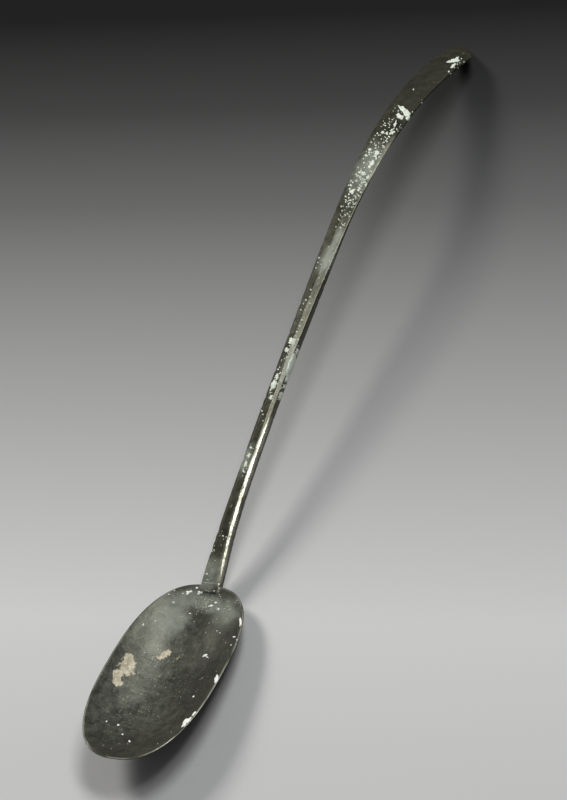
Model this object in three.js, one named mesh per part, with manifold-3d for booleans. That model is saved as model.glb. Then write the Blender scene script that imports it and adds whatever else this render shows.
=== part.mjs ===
import * as THREE from 'three';
import { mergeVertices } from 'three/addons/utils/BufferGeometryUtils.js';
import Module from 'manifold-3d';

const wasm = await Module();
wasm.setup();

// A long-handled spoon of dark bronze: a shallow oval bowl hammered from sheet, and a handle
// whose root is slotted over a short tang at the bowl's end and soldered down to it.
//
// Lengths are in millimetres and angles in degrees. The pieces are drawn with the bowl's rim in
// the XY plane, its tip at the origin, the handle towards +X and the spoon's left side on +Y.
// The whole spoon is then tipped into the pose in which it lies on a table.

// The bowl
const bowlLength = 72;
const bowlWidth = 39;
const bowlDepth = 8;
const floorThickness = 1.3;
const rimThickness = 0.55;
const tipSquareness = 2.4;
const heelSquareness = 2.66;
const innerFullness = 2;
const outerFullness = 2.3;
const restFacetDepth = 0.15;

// The joint between the bowl and the handle
const solderFilm = 0.3;
const lipThickness = 0.3;
const lipReach = 2;
const tangLength = 8;
const tangWidth = 4;
const tangThickness = 1.1;
const tangRootLength = 4;
const tangRootThickness = 0.4;
const scarfDrop = 0.8;

// The handle's side profile: a straight root, then four arcs that run into each other
const rootStraight = 9;
const neckArcLength = 24;
const neckArcTurn = 6.3;
const shankArcLength = 96;
const shankArcTurn = 6.3;
const shoulderArcLength = 22;
const shoulderArcTurn = 5.9;
const bowArcLength = 86;
const bowArcTurn = 33.4;

// The handle's widths
const rootWidth = 6.4;
const neckWidth = 5;
const waistWidth = 4.35;
const shoulderWidth = 6.1;
const bowWidth = 9.5;
const strapWidth = 11.9;

// The handle's thicknesses, measured on its side faces
const shankThickness = 2.8;
const swellThickness = 3.05;
const strapThickness = 0.95;

// The bevels on the handle's upper edges, which grow until they meet in a low ridge
const rootBevel = 0.35;
const shankBevel = 0.85;
const waistEndBevel = 1.36;
const ridgeFlat = 0.3;
const shankBevelTilt = 30;
const ridgeBevelTilt = 18;
const bowBevelTilt = 7;
const strapBevelTilt = 3;
const undersideBevel = 0.35;

// Where along the handle those sizes are reached, counted from the bowl's rim
const bevelStart = 9;
const neckPlace = 20;
const waistStart = 45;
const waistEnd = 78;
const ridgePlace = 88;
const shoulderPlace = 126;
const strapThinPlace = 146;
const bowPlace = 177;
const strapWidePlace = 226;

// The handle's rounded end, worn back on its right side
const noseOffset = 2.2;
const leftNoseLength = 3.6;
const rightNoseLength = 11;
const leftNoseFullness = 2.2;
const rightNoseFullness = 1.2;
const noseTipWidth = 0.5;

// How finely the surfaces are divided
const bowlSides = 96;
const bowlRings = 12;
const stationSpacing = 2.4;
const noseStations = 12;
const mergeDistance = 1e-5;

const halfLength = bowlLength / 2;
const halfWidth = bowlWidth / 2;
const outerDepth = bowlDepth + floorThickness;
const innerHalfLength = halfLength - rimThickness;
const wallSlope = Math.atan((innerFullness * bowlDepth) / innerHalfLength);
const handleLength = rootStraight + neckArcLength + shankArcLength + shoulderArcLength + bowArcLength;

const radians = THREE.MathUtils.degToRad;

// A closed skin through rings of equal count, each end closed by a fan to a tip point.
function loft(rings, firstTip, lastTip) {
  const count = rings[0].length;
  const points = [firstTip, ...rings.flat(), lastTip];
  const endTip = points.length - 1;
  const endRing = 1 + (rings.length - 1) * count;
  const faces = [];
  for (let i = 0; i < count; i++) {
    const next = (i + 1) % count;
    faces.push(0, 1 + next, 1 + i);
    for (let near = 1; near < endRing; near += count) {
      const far = near + count;
      faces.push(near + i, near + next, far + next);
      faces.push(near + i, far + next, far + i);
    }
    faces.push(endTip, endRing + i, endRing + next);
  }
  const geometry = new THREE.BufferGeometry().setFromPoints(points);
  geometry.setIndex(faces);
  return geometry;
}

function solidFrom(geometry) {
  const bare = geometry.clone();
  bare.deleteAttribute('normal');
  bare.deleteAttribute('uv');
  const merged = mergeVertices(bare, mergeDistance);
  const mesh = new wasm.Mesh({
    numProp: 3,
    vertProperties: new Float32Array(merged.attributes.position.array),
    triVerts: new Uint32Array(merged.index.array),
  });
  return new wasm.Manifold(mesh);
}

function geometryFrom(solid) {
  const mesh = solid.getMesh();
  const geometry = new THREE.BufferGeometry();
  geometry.setAttribute('position', new THREE.BufferAttribute(new Float32Array(mesh.vertProperties), 3));
  geometry.setIndex(Array.from(mesh.triVerts));
  geometry.computeVertexNormals();
  return geometry;
}

// A smooth law through stations [place, value] that never swings past them.
function law(stations) {
  const slopes = stations.map((station, i) => {
    if (i === 0 || i === stations.length - 1) return 0;
    const before = (station[1] - stations[i - 1][1]) / (station[0] - stations[i - 1][0]);
    const after = (stations[i + 1][1] - station[1]) / (stations[i + 1][0] - station[0]);
    return before * after > 0 ? (2 * before * after) / (before + after) : 0;
  });
  return (place) => {
    if (place <= stations[0][0]) return stations[0][1];
    const found = stations.findIndex((station) => station[0] >= place);
    if (found < 0) return stations[stations.length - 1][1];
    const [from, low] = stations[found - 1];
    const [to, high] = stations[found];
    const span = to - from;
    const t = (place - from) / span;
    const rise = high - low;
    const a = slopes[found - 1] * span - rise;
    const b = rise - slopes[found] * span;
    return low + rise * t + t * (1 - t) * (a * (1 - t) + b * t);
  };
}

function signedPower(value, power) {
  return Math.sign(value) * Math.abs(value) ** power;
}

// One ring of the bowl at a share of its radius, on an outline drawn in from the rim by an inset.
function bowlRing(share, inset, height) {
  const ring = [];
  for (let i = 0; i < bowlSides; i++) {
    const angle = (-2 * Math.PI * i) / bowlSides;
    const squareness = Math.cos(angle) < 0 ? tipSquareness : heelSquareness;
    const along = signedPower(Math.cos(angle), 2 / squareness);
    const across = signedPower(Math.sin(angle), 2 / squareness);
    const x = halfLength + share * (halfLength - inset) * along;
    ring.push(new THREE.Vector3(x, share * (halfWidth - inset) * across, height));
  }
  return ring;
}

function ringShare(k) {
  return Math.sin((k / bowlRings) * (Math.PI / 2));
}

// The bowl's shell. A growth makes the same shell fatter on all sides, as a cutter with clearance.
function bowlShell(growth) {
  const lift = growth / Math.cos(wallSlope);
  const rings = [];
  for (let k = 1; k <= bowlRings; k++) {
    const share = ringShare(k);
    const height = lift - bowlDepth * (1 - share ** innerFullness);
    rings.push(bowlRing(share, rimThickness + growth, height));
  }
  if (growth > 0) rings.push(bowlRing(1, -growth, lift));
  for (let k = bowlRings; k >= 1; k--) {
    const share = ringShare(k);
    const height = -lift - outerDepth * (1 - share ** outerFullness);
    rings.push(bowlRing(share, -growth, height));
  }
  const innerPole = new THREE.Vector3(halfLength, 0, lift - bowlDepth);
  const outerPole = new THREE.Vector3(halfLength, 0, -lift - outerDepth);
  return solidFrom(loft(rings, innerPole, outerPole));
}

// The handle's shoulder line, where its side faces meet its bevels, as a point and a direction.
function shoulderLine(place) {
  const rise = solderFilm + lipThickness;
  const arcs = [
    [rootStraight, 0],
    [neckArcLength, neckArcTurn],
    [shankArcLength, shankArcTurn],
    [shoulderArcLength, shoulderArcTurn],
    [bowArcLength, bowArcTurn],
  ];
  let x = bowlLength - rimThickness - rise * Math.sin(wallSlope);
  let z = rise * Math.cos(wallSlope);
  let slope = wallSlope;
  let left = place;
  for (const [length, turn] of arcs) {
    const step = Math.min(left, length);
    const bend = (radians(turn) * step) / length;
    const chord = Math.abs(bend) < 1e-9 ? step : (2 * Math.sin(bend / 2) * step) / bend;
    x += chord * Math.cos(slope - bend / 2);
    z += chord * Math.sin(slope - bend / 2);
    slope -= bend;
    left -= step;
    if (left <= 0) break;
  }
  return { x, z, slope };
}

// A point beside the shoulder line: across to the left, and above it square to its direction.
function handlePoint(place, across, above) {
  const { x, z, slope } = shoulderLine(place);
  return new THREE.Vector3(x - above * Math.sin(slope), across, z + above * Math.cos(slope));
}

const widthAt = law([
  [-lipReach, rootWidth],
  [0, rootWidth],
  [neckPlace, neckWidth],
  [waistStart, waistWidth],
  [waistEnd, waistWidth],
  [shoulderPlace, shoulderWidth],
  [bowPlace, bowWidth],
  [strapWidePlace, strapWidth],
]);

const thicknessAt = law([
  [waistEnd - (ridgePlace - waistEnd), shankThickness],
  [ridgePlace, swellThickness],
  [strapThinPlace, strapThickness],
]);

const bevelAt = law([
  [-lipReach, rootBevel],
  [bevelStart, shankBevel],
  [waistEnd, waistEndBevel],
  [ridgePlace, waistWidth / 2],
]);

const bevelTiltAt = law([
  [waistEnd, shankBevelTilt],
  [ridgePlace, ridgeBevelTilt],
  [bowPlace, bowBevelTilt],
  [strapWidePlace, strapBevelTilt],
]);

// How much of a nose's width is left at a place, when it starts to close at a given length from the end.
function noseShare(place, noseLength, fullness) {
  const into = Math.max(0, (place - (handleLength - noseLength)) / noseLength);
  return Math.max(0, 1 - Math.min(1, into) ** fullness) ** (1 / fullness);
}

// The handle's left and right edges at a place along it.
function edgesAt(place) {
  const half = widthAt(place) / 2;
  const tip = noseTipWidth / 2;
  const leftShare = noseShare(place, leftNoseLength, leftNoseFullness);
  const rightShare = noseShare(place, rightNoseLength, rightNoseFullness);
  const left = noseOffset + tip + (half - noseOffset - tip) * leftShare;
  const right = noseOffset - tip - (half + noseOffset - tip) * rightShare;
  return { left, right };
}

// The handle's section: a flat underside, upright sides and a bevelled or ridged top.
function handleSection(place) {
  const { left, right } = edgesAt(place);
  const width = left - right;
  const ridgeBevel = (width - Math.min(ridgeFlat, width / 3)) / 2;
  const bevel = place >= ridgePlace ? ridgeBevel : Math.min(bevelAt(place), ridgeBevel);
  const crown = bevel * Math.tan(radians(bevelTiltAt(place)));
  const bottom = -thicknessAt(place);
  const under = Math.min(undersideBevel, width / 4, -bottom / 3);
  const outline = [
    [right + under, bottom],
    [left - under, bottom],
    [left, bottom + under],
    [left, 0],
    [left - bevel, crown],
    [right + bevel, crown],
    [right, 0],
    [right, bottom + under],
  ];
  return outline.map(([across, above]) => handlePoint(place, across, above));
}

function handleStations() {
  const noseStart = handleLength - rightNoseLength;
  const count = Math.ceil((noseStart + lipReach) / stationSpacing);
  const places = [];
  for (let i = 0; i < count; i++) {
    places.push(-lipReach + ((noseStart + lipReach) * i) / count);
  }
  for (let i = 0; i <= noseStations; i++) {
    const turn = (i / noseStations) * (Math.PI / 2);
    places.push(noseStart + rightNoseLength * Math.sin(turn));
  }
  return places;
}

function handleBlank() {
  const places = handleStations();
  const rings = places.map(handleSection);
  const middle = (place) => {
    const { left, right } = edgesAt(place);
    return handlePoint(place, (left + right) / 2, -thicknessAt(place) / 2);
  };
  return solidFrom(loft(rings, middle(places[0]), middle(places[places.length - 1])));
}

// A slab with the given outline in the root's own frame, as wide as asked, centred on the spoon.
function rootSlab(outline, width) {
  const shape = new THREE.Shape(outline.map(([along, above]) => new THREE.Vector2(along, above)));
  const slab = new THREE.ExtrudeGeometry(shape, { depth: width, bevelEnabled: false });
  slab.translate(0, 0, -width / 2);
  slab.rotateX(Math.PI / 2);
  slab.rotateY(-wallSlope);
  const { x, z } = shoulderLine(0);
  slab.translate(x, 0, z);
  return solidFrom(slab);
}

const scarfTop = -lipThickness;
const tangTop = scarfTop - solderFilm;
const scarfSlope = -scarfDrop / tangLength;

// The tang: the bowl's end wall drawn out under the handle.
function tang() {
  const tangEndTop = tangTop + scarfSlope * tangLength;
  return rootSlab(
    [
      [-tangRootLength, tangTop - tangRootThickness],
      [0, tangTop - tangThickness],
      [tangLength, tangEndTop - tangThickness],
      [tangLength, tangEndTop],
      [0, tangTop],
      [-tangRootLength, tangTop],
    ],
    tangWidth
  );
}

// What is cut from under the handle's root: the lip's underside, and a slot that takes the tang.
function scarfCut() {
  const rimPlace = rimThickness + solderFilm;
  const stepPlace = tangLength + solderFilm;
  const floor = -2 * (shankThickness + scarfDrop);
  const underLip = rootSlab(
    [
      [-2 * lipReach, floor],
      [rimPlace, floor],
      [rimPlace, tangTop],
      [-2 * lipReach, tangTop],
    ],
    2 * rootWidth
  );
  const slot = rootSlab(
    [
      [0, floor],
      [stepPlace, floor],
      [stepPlace, scarfTop + scarfSlope * stepPlace],
      [0, scarfTop],
    ],
    tangWidth + 2 * solderFilm
  );
  return underLip.add(slot);
}

// The film of solder between the tang and the handle's scarf.
function solder() {
  const start = rimThickness;
  const end = tangLength;
  return rootSlab(
    [
      [start, tangTop + scarfSlope * start],
      [end, tangTop + scarfSlope * end],
      [end, scarfTop + scarfSlope * end],
      [start, scarfTop + scarfSlope * start],
    ],
    tangWidth
  );
}

// Lowest height of a set of points once the spoon is tipped handle-down by an angle.
function lowest(points, tip) {
  return Math.min(...points.map((point) => point.z * Math.cos(tip) - point.x * Math.sin(tip)));
}

// The angle at which the bowl's underside and the handle's end both reach the table.
function restTip() {
  const bowlLine = [];
  const handleLine = [];
  const samples = 400;
  for (let i = 0; i <= samples; i++) {
    const share = (2 * i) / samples - 1;
    const height = -outerDepth * (1 - Math.abs(share) ** outerFullness);
    bowlLine.push(new THREE.Vector3(halfLength * (1 + share), 0, height));
    const place = (handleLength * i) / samples;
    handleLine.push(handlePoint(place, 0, -thicknessAt(place)));
  }
  let low = 0;
  let high = Math.PI / 4;
  const halvings = 40;
  for (let i = 0; i < halvings; i++) {
    const tip = (low + high) / 2;
    const above = lowest(handleLine, tip) > lowest(bowlLine, tip) + restFacetDepth;
    if (above) low = tip;
    else high = tip;
  }
  return { tip: low, table: lowest(bowlLine, low) + restFacetDepth };
}

const rest = restTip();

// Everything below the table, in the frame in which the pieces are drawn.
function belowTable() {
  const size = 2 * bowlLength;
  const slab = new THREE.BoxGeometry(size, size, size);
  slab.translate(0, 0, rest.table - size / 2);
  slab.rotateY(-rest.tip);
  return solidFrom(slab);
}

function bowlGeometry() {
  return geometryFrom(bowlShell(0).add(tang()).subtract(belowTable()));
}

function handleGeometry() {
  return geometryFrom(handleBlank().subtract(scarfCut()).subtract(bowlShell(solderFilm)));
}

const bronze = { metalness: 0.75, roughness: 0.5 };
const bowlBronze = new THREE.MeshStandardMaterial({ color: 0x4b4b40, ...bronze });
const handleBronze = new THREE.MeshStandardMaterial({ color: 0x55533f, ...bronze });
const solderGrey = new THREE.MeshStandardMaterial({ color: 0x9aa094, metalness: 0.3, roughness: 0.8 });

function piece(name, geometry, material) {
  const mesh = new THREE.Mesh(geometry, material);
  mesh.name = name;
  return mesh;
}

const spoon = new THREE.Group();
spoon.add(piece('bowl', bowlGeometry(), bowlBronze));
spoon.add(piece('handle', handleGeometry(), handleBronze));
spoon.add(piece('solder', geometryFrom(solder()), solderGrey));

// The spoon lies on the table with the middle of its length and width over the origin.
spoon.rotation.y = rest.tip;
spoon.updateMatrixWorld(true);
const box = new THREE.Box3().setFromObject(spoon, true);
const middle = box.getCenter(new THREE.Vector3());
spoon.position.set(-middle.x, -middle.y, -box.min.z);

export default spoon;
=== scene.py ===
import math
import random

import bpy
from mathutils import Matrix, Vector, noise
from mathutils.bvhtree import BVHTree


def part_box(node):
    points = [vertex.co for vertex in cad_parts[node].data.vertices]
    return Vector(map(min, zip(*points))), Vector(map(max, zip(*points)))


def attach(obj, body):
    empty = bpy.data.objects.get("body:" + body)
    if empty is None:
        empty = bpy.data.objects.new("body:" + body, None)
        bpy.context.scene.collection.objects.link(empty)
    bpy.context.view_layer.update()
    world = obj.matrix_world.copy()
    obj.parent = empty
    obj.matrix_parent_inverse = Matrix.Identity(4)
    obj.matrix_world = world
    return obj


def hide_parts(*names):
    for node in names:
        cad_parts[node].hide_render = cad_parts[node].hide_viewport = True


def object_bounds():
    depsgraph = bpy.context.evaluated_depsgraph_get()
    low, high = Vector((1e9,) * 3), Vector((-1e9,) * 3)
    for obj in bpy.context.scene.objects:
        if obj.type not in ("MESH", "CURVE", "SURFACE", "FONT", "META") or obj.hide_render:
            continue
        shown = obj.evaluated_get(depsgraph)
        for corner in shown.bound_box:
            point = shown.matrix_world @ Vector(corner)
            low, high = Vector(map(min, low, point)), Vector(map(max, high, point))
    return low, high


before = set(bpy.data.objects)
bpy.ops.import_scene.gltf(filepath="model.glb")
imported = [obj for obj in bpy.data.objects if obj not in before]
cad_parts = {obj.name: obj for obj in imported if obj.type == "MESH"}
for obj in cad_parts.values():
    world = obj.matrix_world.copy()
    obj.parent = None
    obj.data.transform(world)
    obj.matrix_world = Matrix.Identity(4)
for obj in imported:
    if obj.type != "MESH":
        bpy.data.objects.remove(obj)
size_before = [list(corner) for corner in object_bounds()]

MM = 0.001

# The spoon's sizes in millimetres, as in the CAD, drawn with the bowl's rim in the XY plane,
# its tip at the origin, the handle towards +X and the spoon's left side on +Y.
BOWL_LENGTH = 72.0
BOWL_WIDTH = 39.0
BOWL_DEPTH = 8.0
OUTER_DEPTH = 9.3
RIM = 0.55
TIP_SQUARENESS = 2.4
HEEL_SQUARENESS = 2.66
INNER_FULLNESS = 2
OUTER_FULLNESS = 2.3
HALF_LENGTH = BOWL_LENGTH / 2
HALF_WIDTH = BOWL_WIDTH / 2
WALL_SLOPE = math.atan(INNER_FULLNESS * BOWL_DEPTH / (HALF_LENGTH - RIM))

# The joint between the bowl and the handle
LIP = 0.3
LIP_REACH = 2.0
FILM = 0.3
TANG_LENGTH = 8.0
TANG_WIDTH = 4.0
TANG_THICKNESS = 1.1
SCARF_DROP = 0.8
SCARF_SLOPE = SCARF_DROP / TANG_LENGTH

# The handle's side profile, as arcs of (length, turn in degrees)
ARCS = [(9.0, 0.0), (24.0, 6.3), (96.0, 6.3), (22.0, 5.9), (86.0, 33.4)]
HANDLE_LENGTH = sum(length for length, _ in ARCS)

# The handle's section, as laws through (place along the handle, value)
WIDTHS = [(-2, 6.4), (0, 6.4), (20, 5.0), (45, 4.35), (78, 4.35), (126, 6.1), (177, 9.5), (226, 11.9)]
THICKNESSES = [(68, 2.8), (88, 3.05), (146, 0.95)]
BEVELS = [(-2, 0.35), (9, 0.85), (78, 1.36), (88, 2.175)]
BEVEL_TILTS = [(78, 30), (88, 18), (177, 7), (226, 3)]
RIDGE_PLACE = 88
RIDGE_FLAT = 0.3
UNDERSIDE_BEVEL = 0.35

# The handle's rounded end
NOSE_OFFSET = 2.2
HALF_NOSE_TIP = 0.25
LEFT_NOSE_LENGTH = 3.6
RIGHT_NOSE_LENGTH = 11.0
LEFT_NOSE_FULLNESS = 2.2
RIGHT_NOSE_FULLNESS = 1.2

# Where the photograph was taken from, as the camera's axes in the spoon's own frame, and the
# bowl's tip seen from the camera, in millimetres. The focal length is in pixels.
CAMERA_RIGHT = Vector((0.397025, -0.881767, -0.254671))
CAMERA_UP = Vector((0.684846, 0.099887, 0.721809))
CAMERA_BACK = Vector((-0.611029, -0.460987, 0.643532))
TIP_SEEN = Vector((-50.684, -105.904, -1329.679))
FOCAL = 4500.0
PHOTO_WIDTH = 567
PHOTO_HEIGHT = 800

# The turn, in degrees, that lays the spoon on the table as the CAD does, and where that puts it
REST_TIP = 7.3407
TIPPED = Matrix.Rotation(math.radians(REST_TIP), 3, "Y")
bowl_low, bowl_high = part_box("bowl")
SHIFT = Vector((bowl_low.x, 0.0, bowl_high.z))

# How far the noise is moved for each seed, so that no two seeds give the same pattern. A value
# whose name ends in WAVE is one such noise, as (size, seed).
SEED_STEPS = (7.3, 3.1, 5.7)


def place_in_world(point):
    return TIPPED @ (Vector(point) * MM) + SHIFT


def mesh_piece(name, verts, faces, material, smooth=True):
    mesh = bpy.data.meshes.new(name)
    mesh.from_pydata([tuple(v) for v in verts], [], faces)
    mesh.update()
    mesh.validate()
    for polygon in mesh.polygons:
        polygon.use_smooth = smooth
    mesh.materials.append(material)
    piece = bpy.data.objects.new(name, mesh)
    bpy.context.scene.collection.objects.link(piece)
    return piece


def law(stations):
    """A smooth law through stations of (place, value) that never swings past them."""
    slopes = [0.0] * len(stations)
    for i in range(1, len(stations) - 1):
        before = (stations[i][1] - stations[i - 1][1]) / (stations[i][0] - stations[i - 1][0])
        after = (stations[i + 1][1] - stations[i][1]) / (stations[i + 1][0] - stations[i][0])
        slopes[i] = 2 * before * after / (before + after) if before * after > 0 else 0.0

    def value(place):
        if place <= stations[0][0]:
            return stations[0][1]
        for i in range(1, len(stations)):
            if place <= stations[i][0]:
                span = stations[i][0] - stations[i - 1][0]
                rise = stations[i][1] - stations[i - 1][1]
                t = (place - stations[i - 1][0]) / span
                a = slopes[i - 1] * span - rise
                b = rise - slopes[i] * span
                return stations[i - 1][1] + rise * t + t * (1 - t) * (a * (1 - t) + b * t)
        return stations[-1][1]

    return value


def steps(start, end, step):
    place = start
    while place < end:
        yield place
        place += step


def signed_power(value, power):
    return math.copysign(abs(value) ** power, value)


def smooth_step(low, high, value):
    t = max(0.0, min(1.0, (value - low) / (high - low)))
    return t * t * (3 - 2 * t)


def wobble(point, size, seed):
    return noise.noise(Vector(point) / size + Vector([seed * step for step in SEED_STEPS]))


def relief(point, layers):
    """Bumps and hollows at a point, the sum of layers of (height, size, seed)."""
    return sum(height * wobble(point, size, seed) for height, size, seed in layers)


def pits(point, layers):
    """Hollows alone at a point, the sum of layers of (depth, size, seed)."""
    return sum(depth * abs(wobble(point, size, seed)) for depth, size, seed in layers)


def loft(rings, first_tip, last_tip):
    """A closed skin through rings of equal count, fanned to a tip at each end, above the table."""
    sides = len(rings[0])
    verts = [first_tip]
    for ring in rings:
        verts.extend(ring)
    verts.append(last_tip)
    last = len(verts) - 1
    end_ring = last - sides
    faces = []
    for i in range(sides):
        j = (i + 1) % sides
        faces.append((0, 1 + j, 1 + i))
        for near in range(1, end_ring, sides):
            far = near + sides
            faces.append((near + i, near + j, far + j, far + i))
        faces.append((last, end_ring + i, end_ring + j))
    placed = [place_in_world(v) for v in verts]
    for v in placed:
        v.z = max(v.z, 0.0)
    return placed, faces


# Materials, with noise scales per metre and bump depths in metres

BLACK = (0.0, 0.0, 0.0)
WHITE = (1.0, 1.0, 1.0)
SCRATCH_COLOUR = (0.20, 0.205, 0.16)
# Painted shade, laid dark over the bowl's right side and tip and over the handle's end
SHADE_COLOUR = (0.028, 0.028, 0.02)
# Green-grey patina, with painted sheen where the bowl's end wall and the strap catch the light
GREEN_AND_SHEEN_COLOUR = (0.22, 0.235, 0.19)
# Painted highlight, lightening the shank's right bevel, the strap's right half and the rim's top
PAINTED_HIGHLIGHT_COLOUR = (0.36, 0.355, 0.28)
TAN_STOPS = [(0.4, (0.36, 0.32, 0.22)), (0.6, (0.58, 0.53, 0.40))]
PATINA_STOPS = (0.36, 0.5, 0.66)
PATINA_BROAD_SHARE = 0.45
PATINA_MOTTLE_SHARE = 0.55
PATINA_METALNESS = 0.6

# Two noises stretched across each other: scale, turn in radians, distortion
SCRIBBLES = [
    ((260.0, 1500.0, 900.0), (0.2, 0.1, 0.7), 1.5),
    ((1300.0, 300.0, 900.0), (0.1, 0.3, 0.4), 1.2),
]
SCRATCH_STOPS = [(0.30, BLACK), (0.345, WHITE)]
SCRATCH_STRENGTH = 0.8

# How the painted stains, painted sheen and painted highlights break up and change the metal under them
GREEN_AND_SHEEN_LEAST = 0.2
GREEN_COVER = 0.6
POLISH_AND_HIGHLIGHT_MOTTLE = 0.8
POLISH_AND_HIGHLIGHT_LEAST = 0.5
POLISH_SMOOTHING = 0.45
TAN_RAGGEDNESS = 2.4
TAN_THRESHOLD = 1.62
TAN_SHARPNESS = 6.0
COVER_ROUGHNESS = 0.3

# Bumps as (strength, depth)
MOTTLE_BUMP = (0.35, 0.00025)
GRAIN_BUMP = (0.3, 0.00005)
SCRATCH_BUMP = (0.25, 0.0002)
CRUST_BUMP = (0.5, 0.0002)
CRUST_GRAIN_BUMP = (0.5, 0.00008)

CRUST_STOPS = (0.36, 0.52, 0.72)
CRUST_BROAD_SHARE = 0.6
CRUST_GRAIN_SHARE = 0.4
CRUST_GRAIN_FINENESS = 5
CRUST_HIGHLIGHT = 1.12
CRUST_ROUGHNESS = 0.62
CRUST_ROUGHNESS_RANGE = 0.3


def new_material(name):
    material = bpy.data.materials.new(name)
    material.use_nodes = True
    tree = material.node_tree
    tree.nodes.clear()
    output = tree.nodes.new("ShaderNodeOutputMaterial")
    shader = tree.nodes.new("ShaderNodeBsdfPrincipled")
    tree.links.new(shader.outputs["BSDF"], output.inputs["Surface"])
    coords = tree.nodes.new("ShaderNodeTexCoord")
    return material, tree, shader, coords.outputs["Object"]


def noise_node(tree, vector, scale, detail, roughness, distortion=0.0):
    node = tree.nodes.new("ShaderNodeTexNoise")
    node.inputs["Scale"].default_value = scale
    node.inputs["Detail"].default_value = detail
    node.inputs["Roughness"].default_value = roughness
    node.inputs["Distortion"].default_value = distortion
    tree.links.new(vector, node.inputs["Vector"])
    return node.outputs["Fac"]


def stretched(tree, vector, scale, turn):
    node = tree.nodes.new("ShaderNodeMapping")
    node.inputs["Scale"].default_value = scale
    node.inputs["Rotation"].default_value = turn
    tree.links.new(vector, node.inputs["Vector"])
    return node.outputs["Vector"]


def ramp(tree, factor, stops):
    node = tree.nodes.new("ShaderNodeValToRGB")
    elements = node.color_ramp.elements
    while len(elements) < len(stops):
        elements.new(0.5)
    for element, (position, colour) in zip(elements, stops):
        element.position = position
        element.color = (*colour, 1.0)
    tree.links.new(factor, node.inputs["Fac"])
    return node.outputs["Color"]


def mix_colour(tree, share, first, second):
    node = tree.nodes.new("ShaderNodeMix")
    node.data_type = "RGBA"
    tree.links.new(share, node.inputs["Factor"])
    for socket, value in ((node.inputs["A"], first), (node.inputs["B"], second)):
        if isinstance(value, tuple):
            socket.default_value = (*value, 1.0)
        else:
            tree.links.new(value, socket)
    return node.outputs["Result"]


def maths(tree, operation, *values, clamp=False):
    node = tree.nodes.new("ShaderNodeMath")
    node.operation = operation
    node.use_clamp = clamp
    for socket, value in zip(node.inputs, values):
        if isinstance(value, (int, float)):
            socket.default_value = value
        else:
            tree.links.new(value, socket)
    return node.outputs["Value"]


def plus(tree, first, second, clamp=False):
    return maths(tree, "ADD", first, second, clamp=clamp)


def minus(tree, first, second):
    return maths(tree, "SUBTRACT", first, second)


def times(tree, first, second, clamp=False):
    return maths(tree, "MULTIPLY", first, second, clamp=clamp)


def attribute(tree, name):
    node = tree.nodes.new("ShaderNodeAttribute")
    node.attribute_name = name
    return node.outputs["Fac"]


def bump(tree, shader, layers):
    """Bumps one over the other, each as (height, strength, depth)."""
    normal = None
    for height, strength, depth in layers:
        node = tree.nodes.new("ShaderNodeBump")
        node.inputs["Strength"].default_value = strength
        node.inputs["Distance"].default_value = depth
        tree.links.new(height, node.inputs["Height"])
        if normal is not None:
            tree.links.new(normal, node.inputs["Normal"])
        normal = node.outputs["Normal"]
    tree.links.new(normal, shader.inputs["Normal"])


def scratch_lines(tree, place):
    """Fine lines that cross, bright where two stretched noises are both high."""
    lines = []
    for scale, turn, distortion in SCRIBBLES:
        vector = stretched(tree, place, scale, turn)
        lines.append(noise_node(tree, vector, scale=1.0, detail=5.0, roughness=0.7, distortion=distortion))
    return times(tree, *lines)


def tan_share(tree, place):
    """How much of the metal a tan deposit hides, with a ragged edge."""
    edge_noise = noise_node(tree, place, scale=700.0, detail=6.0, roughness=0.6, distortion=0.8)
    painted = plus(tree, attribute(tree, "tan"), times(tree, edge_noise, TAN_RAGGEDNESS))
    return times(tree, minus(tree, painted, TAN_THRESHOLD), TAN_SHARPNESS, clamp=True)


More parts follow.
